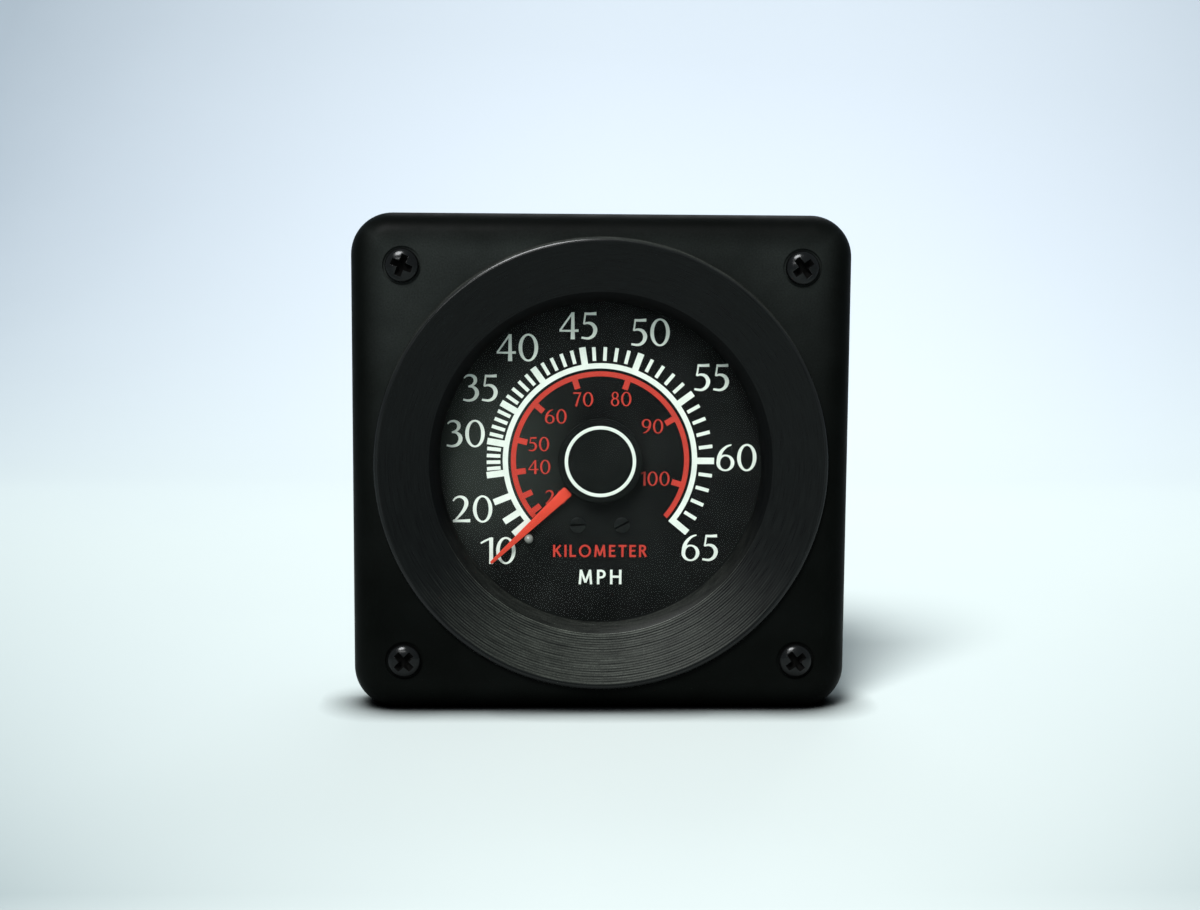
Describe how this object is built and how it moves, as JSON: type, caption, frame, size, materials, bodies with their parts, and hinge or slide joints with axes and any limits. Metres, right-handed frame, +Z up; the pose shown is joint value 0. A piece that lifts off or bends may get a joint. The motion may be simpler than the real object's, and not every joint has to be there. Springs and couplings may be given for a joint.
{
  "type": "panel speedometer",
  "caption": "Square black panel speedometer of the water-pressure kind: round dial behind glass, orange-red pointer, Bourdon-tube movement, clamp strip and hose barb behind.",
  "frame": {"origin": "centre of the round case where it crosses the front of the panel, on the dial's axis", "axes": "+Y along the dial's axis, from the dial back through the panel; +Z up the dial; +X to the right as the dial is read"},
  "size_m": [0.1016, 0.0716, 0.1016],
  "materials": {
    "bezel_plastic": "black moulding, satin sheen",
    "case_plastic": "black moulding, matt",
    "inner_black": "black, matt",
    "cap_plastic": "black, glossy",
    "pale_plastic": "pale, satin",
    "blackened_steel": "blackened, semi-gloss",
    "dial_paint": "black paint, matt",
    "pointer_paint": "orange-red paint, matt",
    "white_paint": "white paint",
    "rubber": "black rubber, matt",
    "clear_glass": "clear, polished",
    "bulb_glass": "clear bulb on a pale base",
    "brass": "machined, satin",
    "bronze": "drawn bronze tube, satin",
    "tinned_brass": "tinned, dull",
    "steel": "turned, satin",
    "spring_steel": "polished spring strip",
    "zinc_steel": "zinc plated, bright"
  },
  "bodies": {
    "housing": {"front_bezel": "bezel_plastic", "bezel_screws": "blackened_steel", "glass_gasket": "rubber", "glass_lens": "clear_glass", "glass_spacer": "inner_black", "dial_plate": "dial_paint", "dial_screws": "blackened_steel", "dial_pillars": "brass", "stop_pin": "pale_plastic", "rear_case": "case_plastic", "front_plate": "brass", "rear_plate": "brass", "plate_pillars": "brass", "plate_screws": "steel", "socket_screws": "steel", "bourdon_tube": "bronze", "hairspring": "spring_steel", "hairspring_stud": "steel", "pressure_socket": "brass", "socket_seal": "rubber", "socket_washer": "zinc_steel", "socket_nut": "brass", "hose_barb": "brass", "mounting_studs": "zinc_steel", "clamp_bracket": "zinc_steel", "lock_washers": "zinc_steel", "stud_nuts": "zinc_steel", "lamp_holder": "case_plastic", "lamp_bulb": "bulb_glass", "lamp_terminals": "tinned_brass"},
    "sector": {"sector_gear": "brass", "sector_arbor": "steel", "sector_pin": "steel"},
    "pointer_arbor": {"pointer": "pointer_paint", "pointer_cap": "cap_plastic", "cap_ring": "white_paint", "pinion_arbor": "brass", "hairspring_collet": "brass"},
    "link": {"connecting_link": "steel"},
    "tube_tip": {"tube_end_piece": "brass", "tube_pin": "steel"}
  },
  "joints": [
    {"name": "sector_swing", "type": "hinge", "parent": "housing", "child": "sector", "pos_m": [0, 0, -0.02], "axis": [0, 1, 0], "range_deg": [-37.5, 0], "stiffness_Nm_per_rad": 0.01, "springref_deg": 8.59},
    {"name": "pointer_spin", "type": "hinge", "parent": "housing", "child": "pointer_arbor", "pos_m": [0, 0, 0], "axis": [0, 1, 0], "range_deg": [0, 262.5], "deforming": ["hairspring"]},
    {"name": "link_pivot", "type": "hinge", "parent": "sector", "child": "link", "pos_m": [0.00035, 0, -0.02499], "axis": [0, 1, 0], "range_deg": [0, 33.7]},
    {"name": "tip_swing", "type": "hinge", "parent": "housing", "child": "tube_tip", "pos_m": [-0.00313, 0, 0.00828], "axis": [0, 1, 0], "range_deg": [-5.75, 0], "deforming": ["bourdon_tube"]}
  ],
  "couplings": [
    {"joint": "pointer_spin", "follows": "sector_swing", "ratio": -7},
    {"joint": "link_pivot", "follows": "sector_swing", "ratio": -0.89836},
    {"joint": "tip_swing", "follows": "sector_swing", "ratio": 0.15331}
  ]
}
